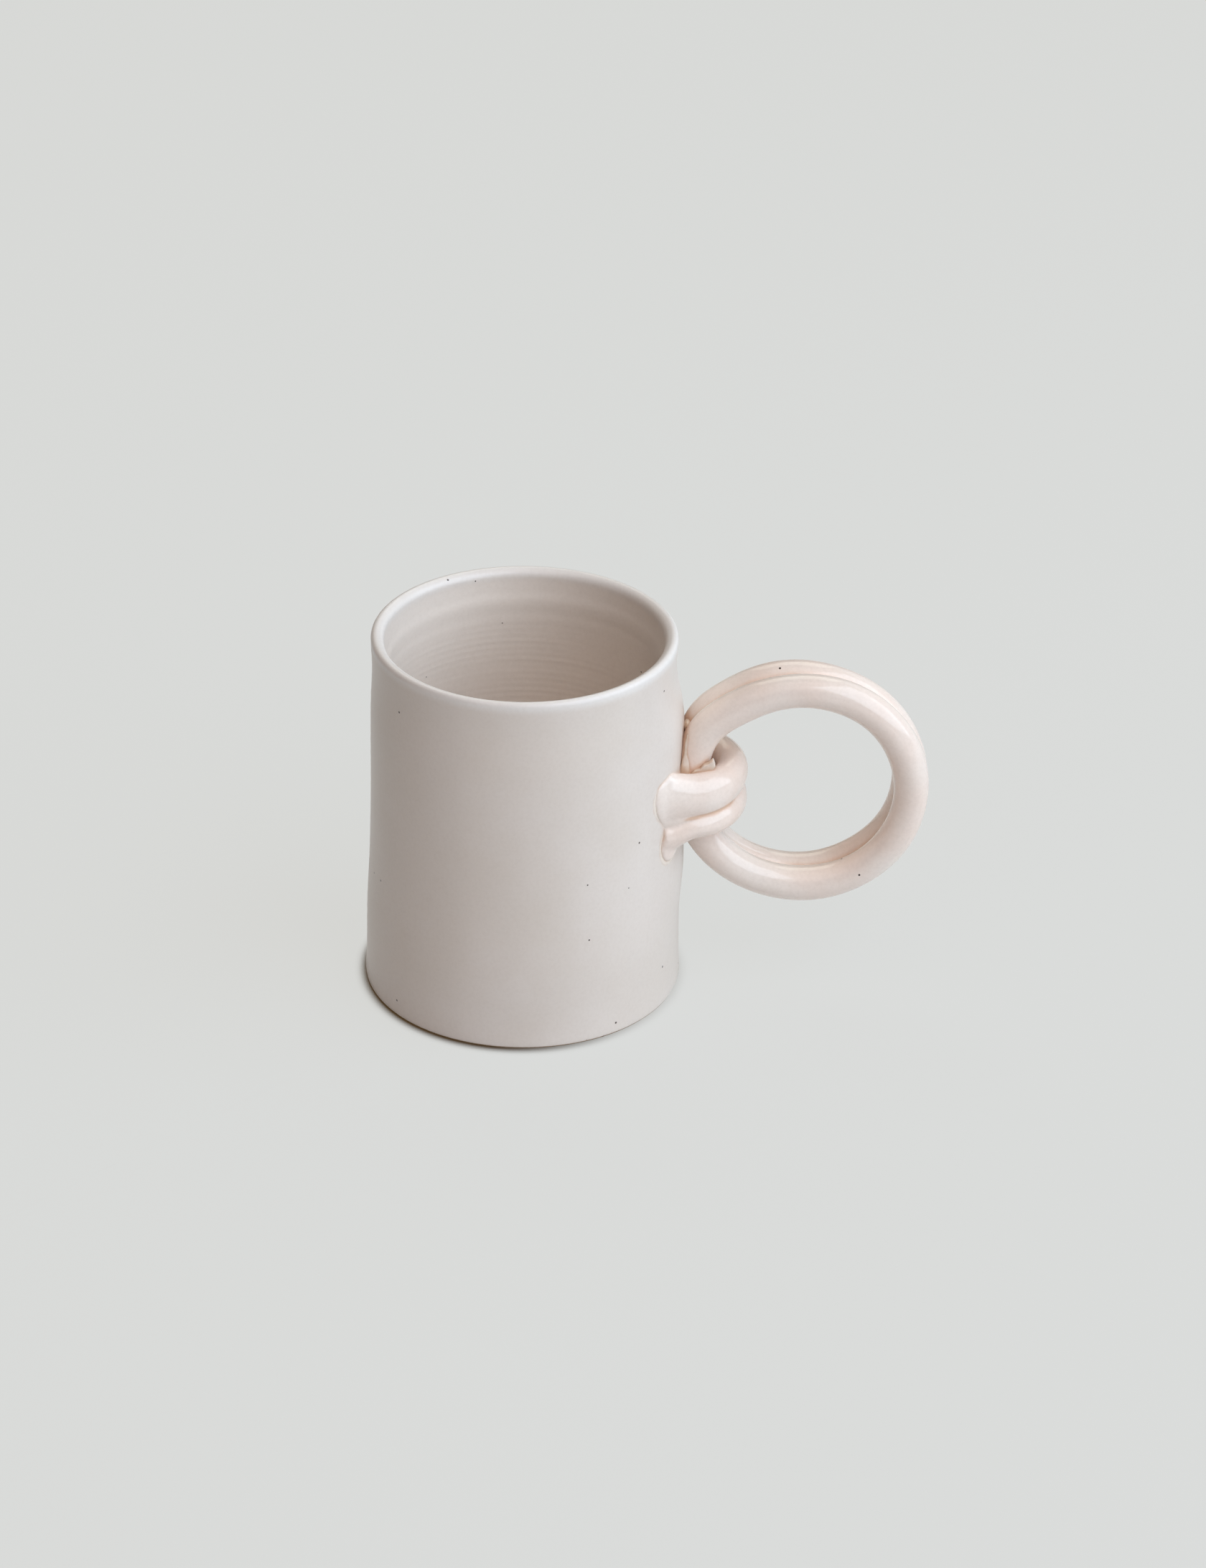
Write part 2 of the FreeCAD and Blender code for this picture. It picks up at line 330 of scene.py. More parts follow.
# %% [markdown]
# ## The two rings
# Each ring is a coil rolled under the palm and closed on itself. Spinning a circle about the
# ring's own axis makes it. Clay is soft, so afterwards the coil is squeezed flat where it meets
# its neighbour and where it meets the wall, and it is never quite even in thickness.

# %% Spin a ring and squeeze it
COIL_SIDES = 56
RING_STEPS = 260
WALL_SINK = 0.15 * MM         # how far a flattened side lies inside the wall
ROOT_ANGLE = math.radians(146)
ROOT_HALF_ANGLE = math.radians(15)
ROOT_BULGE = 1.1              # mm that the ring stands out where it was pressed to the wall


def clear_of_wall(point):
    """Clay that would be inside the wall is pressed flat against it."""
    angle, radius = math.atan2(point.y, point.x), math.hypot(point.x, point.y)
    least = wall_radius(point.z, angle) - WALL_SINK
    if radius < least:
        point = Vector((point.x * least / radius, point.y * least / radius, point.z))
    return point


def shape_ring(point, side, centre, ripple):
    """Gives a perfect ring the unevenness of a hand-rolled coil."""
    across = Vector((point.x - centre.x, 0, point.z - centre.z))
    angle = math.atan2(across.z, across.x)
    path_radius = RING_OUTER - COIL_RADIUS
    off_path = Vector((0, point.y - centre.y, 0)) + across - across.normalized() * path_radius
    thickness = 1 + 0.018 * math.sin(3 * angle + ripple) + 0.012 * math.sin(7 * angle - 2 * ripple)
    at_root = math.exp(-(((angle - ROOT_ANGLE) / ROOT_HALF_ANGLE) ** 2))
    out_of_round = 0.2 * math.cos(2 * angle) + 0.17 * side * math.cos(3 * angle)
    bend = out_of_round + ROOT_BULGE * at_root
    path = across.normalized() * (path_radius + bend * MM)
    moved = centre + path + off_path * thickness
    moved.y = min(moved.y, 0) if side < 0 else max(moved.y, 0)
    return clear_of_wall(moved)


def make_ring(name, side, shift, ripple):
    """The front (-1) or the rear (+1) ring; shift moves its centre in X and Z."""
    centre = RING_CENTRE + Vector((shift[0], side * (RING_HALF_WIDTH - COIL_RADIUS), shift[1]))
    bm = bmesh.new()
    bmesh.ops.create_circle(bm, cap_ends=False, segments=COIL_SIDES, radius=COIL_RADIUS)
    start = Vector((centre.x + RING_OUTER - COIL_RADIUS, centre.y, centre.z))
    bmesh.ops.translate(bm, verts=bm.verts, vec=start)
    bmesh.ops.spin(
        bm, geom=bm.verts[:] + bm.edges[:], cent=centre, axis=(0, 1, 0), dvec=(0, 0, 0),
        angle=2 * math.pi, steps=RING_STEPS, use_merge=True, use_duplicate=False,
    )
    bmesh.ops.remove_doubles(bm, verts=bm.verts, dist=0.001 * MM)
    for vertex in bm.verts:
        vertex.co = shape_ring(vertex.co, side, centre, ripple)
    return piece_from(bm, name)


ring_front = make_ring("ring_front", -1, (0.15 * MM, 0.25 * MM), 0.4)
ring_rear = make_ring("ring_rear", 1, (-0.25 * MM, -0.25 * MM), 2.1)
stand_for(ring_front, "ring_coil_front")
stand_for(ring_rear, "ring_coil_rear")

# %% [markdown]
# ## The wrap
# Two coils loop round the rings, one above the other, and their four ends are smeared on to the
# wall. The nose of each loop is a circle spun part of a turn, and its legs are extruded from the
# open ends, a step at a time, while they grow taller towards the wall. Both are then joined and
# remeshed as one lump of clay, smoothed so that the groove between them softens, and cut in two
# again along the groove.

# %% Spin the nose and extrude the legs
WRAP_NOSE_RADIUS = 13.1 * MM
WRAP_SPLAY = math.radians(18)
WRAP_HALF_HEIGHT = 5.0 * MM
WRAP_HALF_GAP = 4.1 * MM
WRAP_LEAN = 0.13            # the loop climbs from its front end to its rear one
LEG_STEPS = 12
LEG_SINK = 4 * MM             # how far a leg runs on inside the wall
NOSE_SIDES, NOSE_STEPS = 48, 64


def loose_end(bm, side):
    """The open ring of edges at the front end (-1) or the rear end (+1) of the tube."""
    return [e for e in bm.edges if e.is_boundary and e.verts[0].co.y * side > 0]


def grow_leg(bm, side, height, foot_half_height, foot_shift):
    """Extrudes one leg to inside the wall, growing and shifting it in height on the way."""
    direction = Vector((-math.cos(WRAP_SPLAY), side * math.sin(WRAP_SPLAY), 0))
    run = WRAP_NOSE - WRAP_NOSE_RADIUS - (RIM_RADIUS - LEG_SINK)
    length = run / math.cos(WRAP_SPLAY) + LEG_SINK
    edges = loose_end(bm, side)
    grown, shifted = 1.0, 0.0
    for step in range(1, LEG_STEPS + 1):
        t = smoothstep(0, 1, step / LEG_STEPS)
        made = bmesh.ops.extrude_edge_only(bm, edges=edges)["geom"]
        verts = [g for g in made if isinstance(g, bmesh.types.BMVert)]
        edges = [g for g in made if isinstance(g, bmesh.types.BMEdge)]
        wanted = 1 + (foot_half_height / WRAP_HALF_HEIGHT - 1) * t
        about = Matrix.Translation((0, 0, -height - shifted))
        bmesh.ops.scale(bm, vec=(1, 1, wanted / grown), space=about, verts=verts)
        move = direction * (length / LEG_STEPS) + Vector((0, 0, foot_shift * t - shifted))
        bmesh.ops.translate(bm, verts=verts, vec=move)
        grown, shifted = wanted, foot_shift * t
    bmesh.ops.holes_fill(bm, edges=edges)


def add_wrap_loop(level, foot_half_height, foot_shift):
    """One loop as a new bmesh; level is -1 for the lower coil and +1 for the upper one."""
    height = WRAP_SEAM_HEIGHT + level * WRAP_HALF_GAP
    centre = Vector((WRAP_NOSE - WRAP_NOSE_RADIUS, 0, height))
    bm = bmesh.new()
    bmesh.ops.create_circle(bm, cap_ends=False, segments=NOSE_SIDES, radius=COIL_RADIUS)
    bmesh.ops.scale(bm, vec=(1, WRAP_HALF_HEIGHT / COIL_RADIUS, 1), verts=bm.verts)
    upright = Matrix.Rotation(math.pi / 2, 3, "X")
    bmesh.ops.rotate(bm, cent=(0, 0, 0), matrix=upright, verts=bm.verts)
    bmesh.ops.translate(bm, verts=bm.verts, vec=centre + Vector((WRAP_NOSE_RADIUS, 0, 0)))
    half_turn = math.pi / 2 - WRAP_SPLAY
    back = Matrix.Rotation(-half_turn, 3, "Z")
    bmesh.ops.rotate(bm, cent=centre, matrix=back, verts=bm.verts)
    bmesh.ops.spin(
        bm, geom=bm.verts[:] + bm.edges[:], cent=centre, axis=(0, 0, 1), dvec=(0, 0, 0),
        angle=2 * half_turn, steps=NOSE_STEPS, use_merge=False, use_duplicate=False,
    )
    for side in (-1, 1):
        grow_leg(bm, side, height, foot_half_height, foot_shift)
    return bm


# %% [markdown]
# ## Smears, lumps and one body of clay
# Where a coil ends on the wall, a thumb spreads it into a low lens of clay. A sphere squashed flat
# and turned to face outwards is such a lens. Voxel remeshing joins whatever overlaps into one
# closed skin, and smoothing it rounds the creases as wet clay rounds under a finger.

# %% Place a lens on the wall and join clay
def on_wall(height, across, lift=0.0):
    """The point on the wall at a height and a distance along Y, lifted off it."""
    angle = math.asin(across / plain_wall_radius(height))
    radius = wall_radius(height, angle) + lift
    return Vector((radius * math.cos(angle), radius * math.sin(angle), height))


def add_lens(bm, height, across, half_width, half_height, thickness, tilt=0.0, taper=1.0):
    """A lens bent round the wall; tilt turns its top sideways, in degrees.

    A taper above 1 makes it run out thinner towards its edge.
    """
    verts = bmesh.ops.create_uvsphere(bm, u_segments=48, v_segments=28, radius=1.0)["verts"]
    for vertex in verts:
        vertex.co.x = math.copysign(abs(vertex.co.x) ** taper, vertex.co.x)
    bmesh.ops.scale(bm, vec=(thickness, half_width, half_height), verts=verts)
    turn = Matrix.Rotation(math.radians(-tilt), 3, "X")
    bmesh.ops.rotate(bm, cent=(0, 0, 0), matrix=turn, verts=verts)
    for vertex in verts:
        off_wall, sideways, upwards = vertex.co
        vertex.co = on_wall(height + upwards, across + sideways, off_wall)


def add_bead(bm, place, size, stretch=(1, 1, 1), turn=0.0):
    """A ball of clay, stretched and then turned round the upright axis."""
    verts = bmesh.ops.create_icosphere(bm, subdivisions=2, radius=size)["verts"]
    bmesh.ops.scale(bm, vec=stretch, verts=verts)
    bmesh.ops.rotate(bm, cent=(0, 0, 0), matrix=Matrix.Rotation(turn, 3, "Z"), verts=verts)
    bmesh.ops.translate(bm, verts=verts, vec=place)


def add_copy(bm, other):
    """Adds the shape of one bmesh to another, and frees the other."""
    mesh = bpy.data.meshes.new("clay")
    other.to_mesh(mesh)
    other.free()
    bm.from_mesh(mesh)
    bpy.data.meshes.remove(mesh)


def one_lump(bm, grain, rounds):
    """Joins all that overlaps in bm with cells of size grain, and smooths the skin."""
    mesh = bpy.data.meshes.new("lump")
    bm.to_mesh(mesh)
    bm.free()
    lump = bpy.data.objects.new("lump", mesh)
    bpy.context.scene.collection.objects.link(lump)
    joining = lump.modifiers.new("join", "REMESH")
    joining.mode = "VOXEL"
    joining.voxel_size = grain
    smoothing = lump.modifiers.new("soften", "SMOOTH")
    smoothing.factor = 0.5
    smoothing.iterations = rounds
    joined = bmesh.new()
    joined.from_object(lump, bpy.context.evaluated_depsgraph_get())
    bpy.data.objects.remove(lump)
    bpy.data.meshes.remove(mesh)
    return joined


# %% [markdown]
# With these tools the wrap is built in one go. Its legs and nose come first, then the smears on the
# wall and the clay in the groove. One lump is made of them all, and the skin near the wall is
# smoothed once more, as a thumb would.

# %% Build the wrap and part its coils
CLAY_GRAIN = 0.35 * MM
CLAY_ROUNDS = 5
# the smears on the wall: one under each coil's end, and a small one at the upper corner
UPPER_FOOT = dict(height=62.6 * MM, half_width=4.8 * MM, half_height=6.8 * MM, thickness=1.9 * MM)
LOWER_FOOT = dict(height=49.9 * MM, half_width=3.9 * MM, half_height=6.3 * MM, thickness=1.5 * MM)
CORNER_FOOT = dict(height=67.0 * MM, half_width=3.2 * MM, half_height=2.8 * MM, thickness=1.6 * MM)
UPPER_FOOT_ACROSS, UPPER_FOOT_TILT, UPPER_FOOT_TAPER = 16.0 * MM, 26, 1.5
LOWER_FOOT_ACROSS, LOWER_FOOT_TILT = 15.2 * MM, -12
CORNER_FOOT_ACROSS = 15.6 * MM
THUMB_REACH, THUMB_ROUNDS = 4.5 * MM, 14
LEG_BEADS, GROOVE_BEADS = 10, 28
BEAD_TURN = math.radians(4)


def fill_groove(bm, side):
    """Clay pushed into the groove, down a leg and round the nose, where it is thinner."""
    turn_centre = Vector((WRAP_NOSE - WRAP_NOSE_RADIUS, 0, WRAP_SEAM_HEIGHT))
    leg = Vector((math.cos(WRAP_SPLAY), -side * math.sin(WRAP_SPLAY), 0))
    for i in range(GROOVE_BEADS):
        angle = math.radians(90) - WRAP_SPLAY - BEAD_TURN * max(0, i - LEG_BEADS)
        outwards = Vector((math.cos(angle), side * math.sin(angle), 0))
        place = turn_centre + outwards * WRAP_NOSE_RADIUS - leg * max(0, LEG_BEADS - i) * MM
        fill = (3.7 - 1.2 * smoothstep(41, 50, place.x / MM)) * MM
        add_bead(bm, place, fill, stretch=(1, 0.8, 0.8), turn=side * angle)


wrap_bm = bmesh.new()
add_copy(wrap_bm, add_wrap_loop(1, foot_half_height=6.4 * MM, foot_shift=0.8 * MM))
add_copy(wrap_bm, add_wrap_loop(-1, foot_half_height=6.0 * MM, foot_shift=-2.6 * MM))
for side in (-1, 1):
    add_lens(
        wrap_bm, across=side * UPPER_FOOT_ACROSS, tilt=side * UPPER_FOOT_TILT,
        taper=UPPER_FOOT_TAPER, **UPPER_FOOT,
    )
    add_lens(wrap_bm, across=side * CORNER_FOOT_ACROSS, **CORNER_FOOT)
    add_lens(wrap_bm, across=side * LOWER_FOOT_ACROSS, tilt=side * LOWER_FOOT_TILT, **LOWER_FOOT)
    fill_groove(wrap_bm, side)
wrap_bm = one_lump(wrap_bm, CLAY_GRAIN, CLAY_ROUNDS)


def height_over_wall(point):
    return point.xy.length - plain_wall_radius(point.z)


near_wall = [v for v in wrap_bm.verts if 0 < height_over_wall(v.co) < THUMB_REACH]
for _ in range(THUMB_ROUNDS):
    bmesh.ops.smooth_vert(
        wrap_bm, verts=near_wall, factor=0.5, use_axis_x=True, use_axis_y=True, use_axis_z=True,
    )
print("the wrap is one lump of", len(wrap_bm.faces), "faces")


def lean(point):
    """The groove between the coils climbs from front to rear; the outer edges hardly do."""
    off_groove = abs(point.z - WRAP_SEAM_HEIGHT) / (2 * WRAP_HALF_GAP + MM)
    share = 1 - 0.8 * smoothstep(0, 1, off_groove)
    return Vector((point.x, point.y, point.z + WRAP_LEAN * point.y * share))


def part_of_wrap(whole, name, side):
    """The half of the lump above (+1) or below (-1) the groove, closed along the cut."""
    bm = whole.copy()
    seam = Vector((0, 0, WRAP_SEAM_HEIGHT))
    made = bmesh.ops.bisect_plane(
        bm, geom=bm.verts[:] + bm.edges[:] + bm.faces[:], dist=0.001 * MM,
        plane_co=seam, plane_no=(0, 0, side), clear_inner=True,
    )
    cut = [g for g in made["geom_cut"] if isinstance(g, bmesh.types.BMEdge)]
    bmesh.ops.holes_fill(bm, edges=cut)
    bmesh.ops.triangulate(bm, faces=[f for f in bm.faces if len(f.verts) > 4])
    for vertex in bm.verts:
        vertex.co = clear_of_wall(lean(vertex.co))
    return piece_from(bm, name, sharp_degrees=60)


wrap_upper = part_of_wrap(wrap_bm, "wrap_upper", 1)
wrap_lower = part_of_wrap(wrap_bm, "wrap_lower", -1)
wrap_bm.free()
stand_for(wrap_upper, "wrap_coil_upper")
stand_for(wrap_lower, "wrap_coil_lower")

# %% [markdown]
# ## Slip
# Slip is what glues clay to clay, and a little is always squeezed out. Here it shows as a very
# thin skirt round the feet of the wrap, as a ridge up each side of the rings where they meet the
# wall, as a small bubble that burst in the notch above them, and as a torn flake where the front
# ring goes under the wrap. Each ridge is a row of overlapping beads, joined into one. The flake is
# an outline given depth, rounded by the same joining.

# %% Squeeze out the slip
SLIP_GRAIN = 0.2 * MM
SLIP_ROUNDS = 2
RIDGE_BEADS = 40
RIDGE_LOW, RIDGE_RISE = 60, 15.5          # in mm, as are the three below
RIDGE_ACROSS, RIDGE_CLOSING = 8.4, 2.6    # distance from the middle, and how much less at the top
RIDGE_LIFT, RIDGE_LIFT_GAIN = 1.0, 1.2    # distance off the wall, and how much more at the top
RIDGE_BEAD = 0.65
BUBBLE_BEADS, BUBBLE_BEAD, BUBBLE_RADIUS = 16, 0.36, 1.1
SKIRT_WIDTH, SKIRT_THICKNESS, SKIRT_TAPER = 0.3 * MM, 0.25 * MM, 1.3
UPPER_SKIRT_DROP, LOWER_SKIRT_DROP = 1.6 * MM, 0.9 * MM
# the torn flake, seen from the front: x and z in mm of its corners, and its place and depth in y
TORN_OUTLINE = [
    (43.6, 65.2), (45.0, 66.7), (46.5, 67.1), (47.3, 68.1), (48.6, 68.6),
    (49.9, 69.8), (50.5, 68.2), (49.8, 66.6), (48.4, 65.4), (46.5, 64.6),
]
TORN_FRONT, TORN_DEPTH = -9.7, 2.1


def add_ridge(bm, side):
    """Beads up the seam between a ring and the wall, on the front (-1) or the rear (+1)."""
    for i in range(RIDGE_BEADS):
        t = i / (RIDGE_BEADS - 1)
        height = (RIDGE_LOW + RIDGE_RISE * t) * MM
        across = side * (RIDGE_ACROSS - RIDGE_CLOSING * t**2) * MM
        swell = 1 + 0.25 * noise.noise((3.0 * t + side, 0.5, 8.0 * t))
        place = on_wall(height, across, lift=(RIDGE_LIFT + RIDGE_LIFT_GAIN * t**2) * MM)
        add_bead(bm, place, RIDGE_BEAD * MM * swell, stretch=(2.0, 1, 1))


def make_root_slip():
    """The two ridges, the fill of the notch, the burst bubble and the hidden pad."""
    bm = bmesh.new()
    for side in (-1, 1):
        add_ridge(bm, side)
    notch = on_wall(75.0 * MM, 0, lift=0.8 * MM)
    add_bead(bm, notch, 1.3 * MM, stretch=(0.9, 2.2, 1.1))
    add_bead(bm, notch - Vector((0.2, 0, 3.0)) * MM, 1.5 * MM, stretch=(1.0, 2.3, 2.2))
    burst = on_wall(75.4 * MM, -3.2 * MM, lift=1.2 * MM)
    for i in range(BUBBLE_BEADS):
        turn = 2 * math.pi * i / BUBBLE_BEADS
        around = Vector((0.5 * math.cos(turn), -0.5 * math.cos(turn), math.sin(turn)))
        add_bead(bm, burst + around * BUBBLE_RADIUS * MM, BUBBLE_BEAD * MM)
    pad = Vector((on_wall(RING_CENTRE.z, 0).x, 0, RING_CENTRE.z))
    add_bead(bm, pad, 1.0 * MM, stretch=(0.9, 7.0, 17.0))
    return piece_from(one_lump(bm, SLIP_GRAIN, SLIP_ROUNDS), "slip_root")


def make_foot_slip(name, side):
    """Two thin overlapping lenses that reach a little beyond the feet of the wrap."""
    bm = bmesh.new()
    for foot, across, tilt, drop in (
        (UPPER_FOOT, UPPER_FOOT_ACROSS, UPPER_FOOT_TILT, UPPER_SKIRT_DROP),
        (LOWER_FOOT, LOWER_FOOT_ACROSS, LOWER_FOOT_TILT, LOWER_SKIRT_DROP),
    ):
        add_lens(
            bm, foot["height"] - drop, side * across, foot["half_width"] + SKIRT_WIDTH,
            foot["half_height"] + SKIRT_WIDTH, SKIRT_THICKNESS, side * tilt, SKIRT_TAPER,
        )
    return piece_from(bm, name)


def make_torn_slip():
    """A flake with a torn edge, and the bed of slip inside the wrap behind it."""
    bm = bmesh.new()
    outline = [bm.verts.new(Vector((x, TORN_FRONT, z)) * MM) for x, z in TORN_OUTLINE]
    flake = bm.faces.new(outline)
    grown = bmesh.ops.extrude_face_region(bm, geom=[flake])["geom"]
    back = [g for g in grown if isinstance(g, bmesh.types.BMVert)]
    bmesh.ops.translate(bm, verts=back, vec=Vector((0, TORN_DEPTH, 0)) * MM)
    bmesh.ops.recalc_face_normals(bm, faces=bm.faces)
    bed = Vector((RING_CENTRE.x - RING_OUTER + 2 * COIL_RADIUS + 1.6 * MM, 0, WRAP_SEAM_HEIGHT))
    add_bead(bm, bed, 3.0 * MM, stretch=(0.9, 1.8, 1.5))
    return piece_from(one_lump(bm, SLIP_GRAIN, SLIP_ROUNDS), "slip_torn")


slip_root = make_root_slip()
slip_foot_front = make_foot_slip("slip_foot_front", -1)
slip_foot_rear = make_foot_slip("slip_foot_rear", 1)
slip_torn = make_torn_slip()
stand_for(slip_root, "slip_ring_root")
stand_for(slip_foot_front, "slip_wrap_foot_front")
stand_for(slip_foot_rear, "slip_wrap_foot_rear")
stand_for(slip_torn, "slip_ring_in_wrap")

# %% [markdown]
# ## Where the glaze breaks, and painted crease shade
# Melted glaze is thin in tight creases, and the warm clay shows there. The same warm, darker colour
# also stands in for the shade that falls in the creases, so it is partly painted shade. Each vertex
# therefore remembers how sheltered it lies, in an attribute that the materials read. Shelter is
# measured by looking a few millimetres in many directions and counting how many of them meet clay.
# Vertices pressed into the wall are left out, or their shelter would spread to their neighbours
# outside.

# %% Measure the creases
CREASE_REACH = 2.6 * MM
LOOKS = 24
LOOK_START = 0.05             # mm off the surface
SPREAD_ROUNDS = 2
PRESSED_IN = 0.08 * MM


def look_directions():
    """Directions spread evenly over the half sphere above the XY plane."""
    golden = math.pi * (3 - math.sqrt(5))
    found = []
    for i in range(LOOKS):
        up = (i + 0.5) / LOOKS
        flat = math.sqrt(1 - up * up)
        found.append(Vector((flat * math.cos(golden * i), flat * math.sin(golden * i), up)))
    return found


def spread(piece, values):
    """Averages each value with those of the neighbouring vertices, a few times."""
    for _ in range(SPREAD_ROUNDS):
        total, count = values[:], [1] * len(values)
        for first, second in (edge.vertices for edge in piece.data.edges):
            total[first] += values[second]
            total[second] += values[first]
            count[first] += 1
            count[second] += 1
        values = [t / c for t, c in zip(total, count)]
    return values


def inside_wall(point):
    """Whether clay is pressed into the wall, where no one sees it."""
    outside = wall_radius(point.z, math.atan2(point.y, point.x))
    return math.hypot(point.x, point.y) < outside + PRESSED_IN


def mark_creases(pieces, first_x):
    """Fills in the crease attribute; points with x below first_x stay open."""
    points, corners = [], []
    for piece in pieces:
        corners += [[len(points) + i for i in face.vertices] for face in piece.data.polygons]
        points += [v.co.copy() for v in piece.data.vertices]
    surface = BVHTree.FromPolygons(points, corners)
    looks = look_directions()
    for piece in pieces:
        values = [0.0] * len(piece.data.vertices)
        for vertex in piece.data.vertices:
            if vertex.co.x < first_x or (piece != body and inside_wall(vertex.co)):
                continue
            facing = vertex.normal.to_track_quat("Z", "Y")
            start = vertex.co + vertex.normal * LOOK_START * MM
            met = [surface.ray_cast(start, facing @ look, CREASE_REACH)[0] for look in looks]
            values[vertex.index] = sum(place is not None for place in met) / LOOKS
        values = spread(piece, values)
        crease = piece.data.attributes.new("crease", "FLOAT", "POINT")
        crease.data.foreach_set("value", values)
        print(piece.name, "has", sum(value > 0.3 for value in values), "sheltered points")


handle_pieces = [ring_front, ring_rear, wrap_upper, wrap_lower]
slip_pieces = [slip_root, slip_foot_front, slip_foot_rear, slip_torn]
mark_creases([body, *handle_pieces, *slip_pieces], first_x=30 * MM)

# %% [markdown]
# The groove between the coils of the wrap is shallow, so it hardly shelters anything, but the
# glaze drained out of it. It gets a mark of its own, which fades where the coils were smeared
# together.

# %% Mark the groove of the wrap
GROOVE_HALF_WIDTH = 0.75 * MM
# distances in mm from the mug's axis between which the mark appears, and then fades
GROOVE_STARTS, GROOVE_FADES = (40.5, 45), (54, 58)

for piece in (wrap_upper, wrap_lower):
    crease = piece.data.attributes["crease"]
    for vertex in piece.data.vertices:
        off_groove = vertex.co.z - WRAP_SEAM_HEIGHT - WRAP_LEAN * vertex.co.y
        x = vertex.co.x / MM
        along = smoothstep(*GROOVE_STARTS, x) * (1 - smoothstep(*GROOVE_FADES, x))
        drained = 0.8 * along * math.exp(-((off_groove / GROOVE_HALF_WIDTH) ** 2))
        crease.data[vertex.index].value = max(crease.data[vertex.index].value, drained)

# %% [markdown]
# ## Glaze and clay
# Stoneware is a grey-buff clay with grains of iron in it. Under a satin, off-white glaze the iron
# bleeds through as sparse brown specks and a fine, faint grain. On the coils the glaze is thinner
# and glossier, so the pink of the clay warms it. Colours are given as sRGB hex values, and one
# function turns them into the linear values that the shader works in.

# %% Material helpers
def hex_colour(code):
    channels = [int(code[i:i + 2], 16) / 255 for i in (1, 3, 5)]
    linear = [c / 12.92 if c <= 0.04045 else ((c + 0.055) / 1.055) ** 2.4 for c in channels]
    return (*linear, 1.0)


def add_node(tree, kind, values=None, links=None, **settings):
    """A node of any kind with its settings, its values and what is linked into it."""
    node = tree.nodes.new(kind)
    for name, value in settings.items():
        setattr(node, name, value)
    for name, value in (values or {}).items():
        node.inputs[name].default_value = value
    for name, source in (links or {}).items():
        tree.links.new(source, node.inputs[name])
    return node


def new_material(name):
    """A material with an empty node tree, its output, and the place on the object as a socket."""
    material = bpy.data.materials.new(name)
    material.use_nodes = True
    tree = material.node_tree
    tree.nodes.clear()
    output = add_node(tree, "ShaderNodeOutputMaterial")
    place = add_node(tree, "ShaderNodeTexCoord").outputs["Object"]
    return material, tree, output, place


# a Mix node has one set of sockets for each kind of value, so colours are reached by number
FACTOR, FIRST_COLOUR, SECOND_COLOUR, COLOUR_RESULT = 0, 6, 7, 2


def blend(tree, factor, first, second):
    """Mixes two colours, each a socket or a hex code, by a factor socket."""
    colours = {FIRST_COLOUR: first, SECOND_COLOUR: second}
    values = {n: hex_colour(c) for n, c in colours.items() if isinstance(c, str)}
    links = {n: c for n, c in colours.items() if not isinstance(c, str)}
    links[FACTOR] = factor
    mixed = add_node(tree, "ShaderNodeMix", values, links, data_type="RGBA")
    return mixed.outputs[COLOUR_RESULT]


def ramp(tree, source, low, high, to_low=0.0, to_high=1.0):
    """Maps a value from low..high on to to_low..to_high, with soft ends."""
    values = {"From Min": low, "From Max": high, "To Min": to_low, "To Max": to_high}
    node = add_node(
        tree, "ShaderNodeMapRange", values, {"Value": source}, interpolation_type="SMOOTHSTEP",
    )
    return node.outputs["Result"]


def math_of(tree, operation, first, second):
    """The result of one operation on two values, each a socket or a number."""
    inputs = {0: first, 1: second}
    values = {n: v for n, v in inputs.items() if isinstance(v, float)}
    links = {n: v for n, v in inputs.items() if not isinstance(v, float)}
    return add_node(tree, "ShaderNodeMath", values, links, operation=operation).outputs["Value"]


def part_of(tree, place, axis):
    return add_node(tree, "ShaderNodeSeparateXYZ", {}, {"Vector": place}).outputs[axis]


def cloud(tree, place, size_mm, detail=2.0, roughness=0.5):
    """Soft noise whose blotches are about size_mm across."""
    values = {"Scale": 1000.0 / size_mm, "Detail": detail, "Roughness": roughness}
    return add_node(tree, "ShaderNodeTexNoise", values, {"Vector": place}).outputs["Fac"]


def specks(tree, place, spacing_mm, radius_mm):
    """Sparse round dots: 1 inside a dot, 0 outside."""
    values = {"Scale": 1000.0 / spacing_mm}
    cells = add_node(tree, "ShaderNodeTexVoronoi", values, {"Vector": place})
    reach = radius_mm / spacing_mm
    return ramp(tree, cells.outputs["Distance"], reach * 0.8, reach, 1.0, 0.0)


# %% [markdown]
# ## The glazes
# One recipe makes every glaze here, because the potter dipped the whole mug in one bucket. What
# changes is how thick it lies: thick and satin on the wall, thin and glossy on the coils, and
# broken over the slip. Inside the cup, and most of all on the lip, the wall's glaze is painted
# whiter: painted light inside the cup, and a painted highlight on the lip.

# %% Mix the glazes
DRIFT_MM = 26
GRAIN_MM = 0.9
SPECK_SPACING_MM = 7.5
SPECK_RADIUS_MM = 0.34
PEEL_MM = 2.2
CREASE_FULL = 0.55            # how sheltered a crease has to be for the glaze break and the painted crease shade to be full
CREASE_WANDER = 0.3
INSIDE_LIGHT_FULL, INSIDE_LIGHT_GONE = 38.2 * MM, 39.7 * MM    # the painted light inside the cup fades between these radii; on the lip it rises between the heights below
LIP_LIGHT_LOW, LIP_LIGHT_HIGH = MUG_HEIGHT - 3.6 * MM, MUG_HEIGHT - 1.0 * MM


